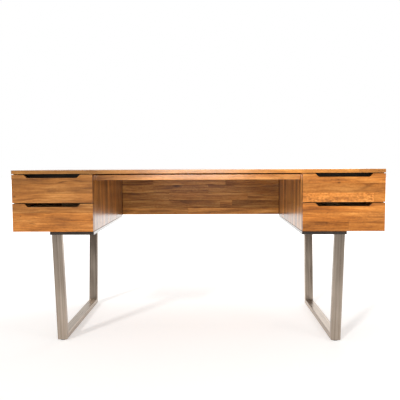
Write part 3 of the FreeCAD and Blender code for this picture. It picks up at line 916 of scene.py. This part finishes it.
# %% Drawer fronts
front_lay_ups = {
    "upper_left": whole((1.03, 0.2, 0.1), (0.87, 0.2, 0.2), (0.80, 0.2, 0.2)),
    "lower_left": whole((1.20, 0.4, 0.2), (1.11, 0.5, 0.2), (0.88, 0.3, 0.2)),
    "upper_right": [
        ((0.86,), [(1.40, 0.5, 0.9), (1.08, 0.7, 0.2)]),
        *whole((0.88, 0.6, 0.3), (1.16, 0.6, 0.2)),
    ],
    "lower_right": [
        ((0.56,), [(0.86, 0.7, 0.3), (0.94, 0.6, 0.2)]),
        *whole((1.12, 0.6, 0.3), (1.22, 0.6, 0.2)),
    ],
}
front_marks = {
    "upper_left": [
        (0.635, 0.744, 9, 29, 3.0, 0.65), (0.834, 0.772, -5, 36, 3.0, 0.50), (0.489, 0.439, 0, 27, 10, 0.35),
        (0.024, 0.404, 0, 4, 4.0, 0.60), (0.030, 0.235, 0, 7, 4.5, 0.70), (0.066, 0.772, 0, 25, 16, 0.30),
    ],
    "lower_left": [
        (0.103, 0.561, 0, 4, 3.5, 0.70), (0.067, 0.420, 0, 3, 2.5, 0.50), (0.237, 0.295, -8, 22, 3.0, 0.55),
        (0.456, 0.820, 0, 40, 2.5, 0.40), (0.990, 0.440, 0, 5, 5.0, 0.60), (0.210, 0.400, 0, 14, 2.0, 0.35),
    ],
    "upper_right": [
        (0.429, 0.779, 0, 6, 4.0, 0.55), (0.435, 0.681, 0, 8, 5.0, 0.65), (0.344, 0.790, 0, 5, 3.0, 0.40),
        (0.770, 0.540, 22, 42, 8.0, 0.45), (0.903, 0.372, 0, 20, 4.0, 0.40),
    ],
    "lower_right": [
        (0.302, 0.654, 0, 4, 3.0, 0.50), (0.290, 0.296, 0, 9, 5.0, 0.60), (0.218, 0.310, 0, 36, 9.0, 0.30),
        (0.432, 0.193, 0, 20, 8.0, 0.30), (0.780, 0.318, 0, 77, 1.8, 0.60), (0.792, 0.140, 0, 60, 2.0, 0.35),
    ],
}
for drawer, lay_up in front_lay_ups.items():
    node = drawer + "_drawer_front"
    marks = (node, front_marks[drawer])
    finish = lacquered_wood("honey_hardwood_" + drawer, HONEY, coat=0.5, contrast=0.85, marks=marks)
    stave_board(node, "X", "Z", even(3), lay_up, finish,
                between=pull_stations(), drop=pull_drop, brow_painted_shade=PULL_PAINTED_SHADE)
print(len(front_lay_ups), "drawer fronts")

# %% [markdown]
# ## Boards of the frame that stay
#
# Pedestal floors, top rails and the drawer boxes have grooves and screw holes in the right places, so
# the frame's own solids stay. They get the same wood finish, read from Object coordinates, and the top
# rails are made nearly black, as painted shade behind the pulls.

# %% Finishes for the boards that stay
honey_along_x = lacquered_wood("honey_hardwood_along_x", HONEY, "X")
pale_along_x = lacquered_wood("pale_drawer_wood_along_x", PALE, "X", 0.40, 0.3, contrast=0.8)
pale_along_y = lacquered_wood("pale_drawer_wood_along_y", PALE, "Y", 0.40, 0.3, contrast=0.8)
# Top rails nearly black: painted shade seen through the pulls.
rail_painted_shade = lacquered_wood("rail_dark_painted_shade", DARK, "X", 0.40, 0.2)
dark_along_y = lacquered_wood("dark_stained_board", DARK, "Y", 0.16, 1.0, 1.0)
print("finishes along a grain axis:", ", ".join(sorted(GRAIN_TURNS)))

# %% [markdown]
# ## Brushed steel
#
# The legs are steel tube, brushed along its length and clear coated. Brushing is a set of very fine
# scratches that run one way: noise that is long along the tube and short across it, which changes the
# roughness, the tint and a shallow bump. The uprights lean, so the noise is turned to lean with them. Each
# upright's tone is painted light and shade: the right rear one lighter, the right front and left rear
# darker.

# %% Steel finish
STEEL = {"dark": (0.270, 0.216, 0.170), "light": (0.560, 0.474, 0.393)}


def brushed_steel(name, turn, tone=1.0):
    """Steel with scratches along its length. turn is the rotation about X that brings the length to Z."""
    recipe = Recipe(name)
    upright = recipe.add("Mapping", {"Vector": recipe.place(), "Rotation": (turn, 0.0, 0.0)})
    scratches = recipe.noise(upright, (1500.0, 1500.0, 9.0), 2.0)
    streaks = recipe.noise(upright, (190.0, 190.0, 2.2), 3.0, 0.6)
    cloud = recipe.noise(upright, (14.0, 14.0, 6.0), 2.0)
    parts = ((scratches, 0.5), (streaks, 1.1), (cloud, 0.5))
    tint = recipe.plus(0.5, *(recipe.swing(part, amount) for part, amount in parts))
    colour = recipe.ramp(tint, (0.2, STEEL["dark"]), (0.8, STEEL["light"]))
    rough = recipe.range(tint, 0.2, 0.8, 0.24, 0.40)
    return recipe.principled({
        "Base Color": recipe.scale(colour, tone),
        "Metallic": 1.0,
        "Roughness": rough,
        "Normal": recipe.bump(scratches, 0.2, 0.0001),
    })


# Tones of the uprights are painted light and shade: the right rear one lighter, the right front and left
# rear ones darker.
UPRIGHT_PAINTED_LIGHT = {"left_front": 1.0, "right_front": 0.85, "left_rear": 0.80, "right_rear": 1.17}
LEG_SPLAY = 0.048
leg_low, leg_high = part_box("left_front_upright")
lean = math.atan2(LEG_SPLAY, leg_high.z - leg_low.z)
steel = {"foot_bar": brushed_steel("brushed_steel_foot", math.pi / 2)}
for place, tone in UPRIGHT_PAINTED_LIGHT.items():
    tube = place + "_upright"
    steel[tube] = brushed_steel("brushed_steel_" + tube, -lean if "front" in tube else lean, tone)
print("uprights lean", round(math.degrees(lean), 1), "degrees")

# %% [markdown]
# ## Hardware
#
# Runners and screws are zinc plated, the glides are black nylon and the stops are felt.

# %% Hardware finishes


def zinc_plate():
    """Bright zinc with the faint cloudy crystals of plating."""
    recipe = Recipe("zinc_plated_steel")
    cloud = recipe.noise(recipe.place(), (90.0, 30.0, 90.0), 4.0, 0.6)
    colour = recipe.ramp(cloud, (0.35, (0.36, 0.37, 0.38)), (0.65, (0.54, 0.55, 0.56)))
    rough = recipe.range(cloud, 0.2, 0.8, 0.24, 0.42)
    return recipe.principled({"Base Color": colour, "Metallic": 1.0, "Roughness": rough})


def black_nylon():
    """Moulded nylon with a fine matt texture."""
    recipe = Recipe("black_nylon")
    grain = recipe.noise(recipe.place(), (2500.0, 2500.0, 2500.0))
    colour = recipe.ramp(grain, (0.35, (0.010, 0.010, 0.011)), (0.65, (0.022, 0.022, 0.023)))
    bump = recipe.bump(grain, 0.3, 0.0001)
    return recipe.principled({"Base Color": colour, "Roughness": 0.55, "Normal": bump})


def grey_felt():
    """Pressed felt: a mat of short fibres with a soft sheen."""
    recipe = Recipe("grey_felt")
    fuzz = recipe.noise(recipe.place(), (3500.0, 1200.0, 3500.0), 4.0)
    colour = recipe.ramp(fuzz, (0.3, (0.10, 0.10, 0.105)), (0.7, (0.24, 0.24, 0.25)))
    bump = recipe.bump(fuzz, 0.6, 0.0003)
    return recipe.principled({"Base Color": colour, "Roughness": 0.95, "Normal": bump, "Sheen Weight": 0.4})


zinc, nylon, felt = zinc_plate(), black_nylon(), grey_felt()
print("finishes", [m.name for m in (zinc, nylon, felt)])

# %% [markdown]
# Glides, screws and felt dots are turned pieces. The usual way is a primitive with bevels. Here each one is
# a profile of radii and heights, carried around its axis, so that the soft edges of the glide, the cone of
# the screw head and the dome of the dot are all in one line of numbers. The socket in the screw head is the
# same surface with a hexagonal ring: there the radius is divided by the cosine of the angle from the middle
# of the nearest flat.

# %% Turned pieces
TURNED_STEPS = 48


def turned(profile, sockets=0):
    """Points, quads and fans of one piece about Z: P(row, t) = (r cos t, r sin t, h).

    profile is a table of radius and height in millimetres that starts and ends at the axis. The first
    sockets rows after the start are hexagons: r(t) = r / cos(t mod 60 degrees, less 30 degrees)."""
    radius, height = np.array(profile).T / 1000
    t = np.linspace(0, 2 * np.pi, TURNED_STEPS, endpoint=False)
    hexagon = 1 / np.cos(t % (np.pi / 3) - np.pi / 6)
    rings = np.repeat(radius[1:-1, None], TURNED_STEPS, 1)
    rings[:sockets] *= hexagon
    levels = np.repeat(height[1:-1, None], TURNED_STEPS, 1)
    grid = np.stack([rings * np.cos(t), rings * np.sin(t), levels], -1)
    points = np.vstack([grid.reshape(-1, 3), [[0, 0, height[0]], [0, 0, height[-1]]]])
    j = np.arange(TURNED_STEPS)
    k = (j + 1) % TURNED_STEPS
    count, last = len(points), (len(rings) - 1) * TURNED_STEPS
    fans = np.vstack([np.column_stack([k, j, np.full_like(j, count - 2)]),
                      np.column_stack([last + j, last + k, np.full_like(j, count - 1)])])
    return points, loop_quads(len(rings), TURNED_STEPS), fans


def add_turned(node, shape, places, material):
    """Copies of a turned shape at the given places, as one piece that stands for a node of the frame."""
    points, quads, fans = shape
    shift = np.arange(len(places))[:, None, None] * len(points)
    everywhere = (points + np.asarray(places)[:, None]).reshape(-1, 3)
    quads = (quads + shift).reshape(-1, 4)
    fans = (fans + shift).reshape(-1, 3)
    piece = add_piece(node + ".turned", everywhere, quads, material, "frame", node, fans)
    smooth_but_crisp(piece)
    print(node, len(places), "pieces,", len(piece.data.polygons), "faces")


def grid_places(xs, ys, zs):
    """Every combination of the given coordinates."""
    return np.array(np.meshgrid(xs, ys, zs)).reshape(3, -1).T


def both(*distances):
    """The given distances to the right and to the left."""
    return np.r_[distances, np.negative(distances)]


print("turned pieces have", TURNED_STEPS, "steps around")

# %% [markdown]
# The places of the turned pieces are read from the boxes of the nodes that they stand for, with the pitch
# between the pieces of a group. Floor glides have a broad soft rim, a shoulder against the foot bar and a
# stud. Screw heads lie level with the wood, with the socket downwards, where a key can reach it.

# %% Glides, screws and felt dots
GLIDE = [(0, 0), (13.6, 0), (14.3, 0.2), (14.8, 0.7), (15, 1.4), (15, 3.2), (14.8, 3.7), (14.3, 4), (4, 4),
         (4, 8.6), (3.6, 9), (0, 9)]
LEG_SCREW = [(0, 2.2), (1.5, 1.9), (1.5, 0.15), (1.65, 0), (4.6, 0), (4.8, 0.15), (2.5, 2.6), (2.5, 24.5),
             (1.6, 26), (0, 26)]
TOP_SCREW = [(0, 1.9), (1.25, 1.7), (1.25, 0.12), (1.4, 0), (4.1, 0), (4.3, 0.15), (2, 2.6), (2, 25),
             (1.3, 26), (0, 26)]
SOCKET_ROWS = 3
FELT_DOT = [(0, 0), (4.3, 0), (4.5, 0.3), (4.5, 1.3), (4.35, 1.7), (3.9, 1.88), (2.5, 1.97), (0, 2)]
LEG_SCREW_PITCH = (0.024, 0.044)
TOP_SCREW_PITCH = 0.230
DOT_PITCH = 0.332


def edge_of(node, profile):
    """Lower and upper corner of a node's box, drawn in by the profile's largest radius."""
    radius = max(radius for radius, height in profile) / 1000
    low, high = (np.array(corner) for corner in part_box(node))
    return low + radius, high - radius


low, high = edge_of("floor_glides", GLIDE)
places = grid_places(both(high[0]), both(high[1]), 0)
add_turned("floor_glides", turned(GLIDE), places, nylon)

low, high = edge_of("leg_screws", LEG_SCREW)
xs, ys = (both(high[k], high[k] - LEG_SCREW_PITCH[k]) for k in range(2))
places = grid_places(xs, ys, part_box("leg_screws")[0].z)
add_turned("leg_screws", turned(LEG_SCREW, SOCKET_ROWS), places, zinc)

low, high = edge_of("top_screws", TOP_SCREW)
xs = both(high[0], high[0] - TOP_SCREW_PITCH)
places = grid_places(xs, [low[1], high[1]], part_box("top_screws")[0].z)
add_turned("top_screws", turned(TOP_SCREW, SOCKET_ROWS), places, zinc)

low, high = edge_of("bumper_dots", FELT_DOT)
points, quads, fans = turned(FELT_DOT)
facing_front = points[:, [0, 2, 1]] * [1, -1, 1]
xs = both(high[0], high[0] - DOT_PITCH)
places = grid_places(xs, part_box("bumper_dots")[1].y, [low[2], high[2]])
add_turned("bumper_dots", (facing_front, quads, fans), places, felt)

# %% [markdown]
# ## Dressing the rest
#
# Nodes that no piece stands for keep the frame's own shape. Each gets its finish by the end of its name.

# %% Dress the nodes that stay


def finish_for(node):
    """The finish of a node of the frame, by its name."""
    endings = {
        "pedestal_floor": honey_along_x,
        # top rails nearly black, as painted shade behind the pulls
        "top_rails": rail_painted_shade,
        "mounting_board": dark_along_y,
        "drawer_left_side": pale_along_y,
        "drawer_right_side": pale_along_y,
        "drawer_back": pale_along_x,
        "drawer_bottom": pale_along_x,
        "runners": zinc,
        "leg_flanges": steel["foot_bar"],
        **steel,
    }
    return next(finish for ending, finish in endings.items() if node.endswith(ending))


dressed = [node for node, shown in frame["nodes"].items() if not shown.hide_render]
for node in dressed:
    mesh = frame["nodes"][node].data
    mesh.materials.clear()
    mesh.materials.append(finish_for(node))
print(len(dressed), "nodes keep their shape and get a finish")
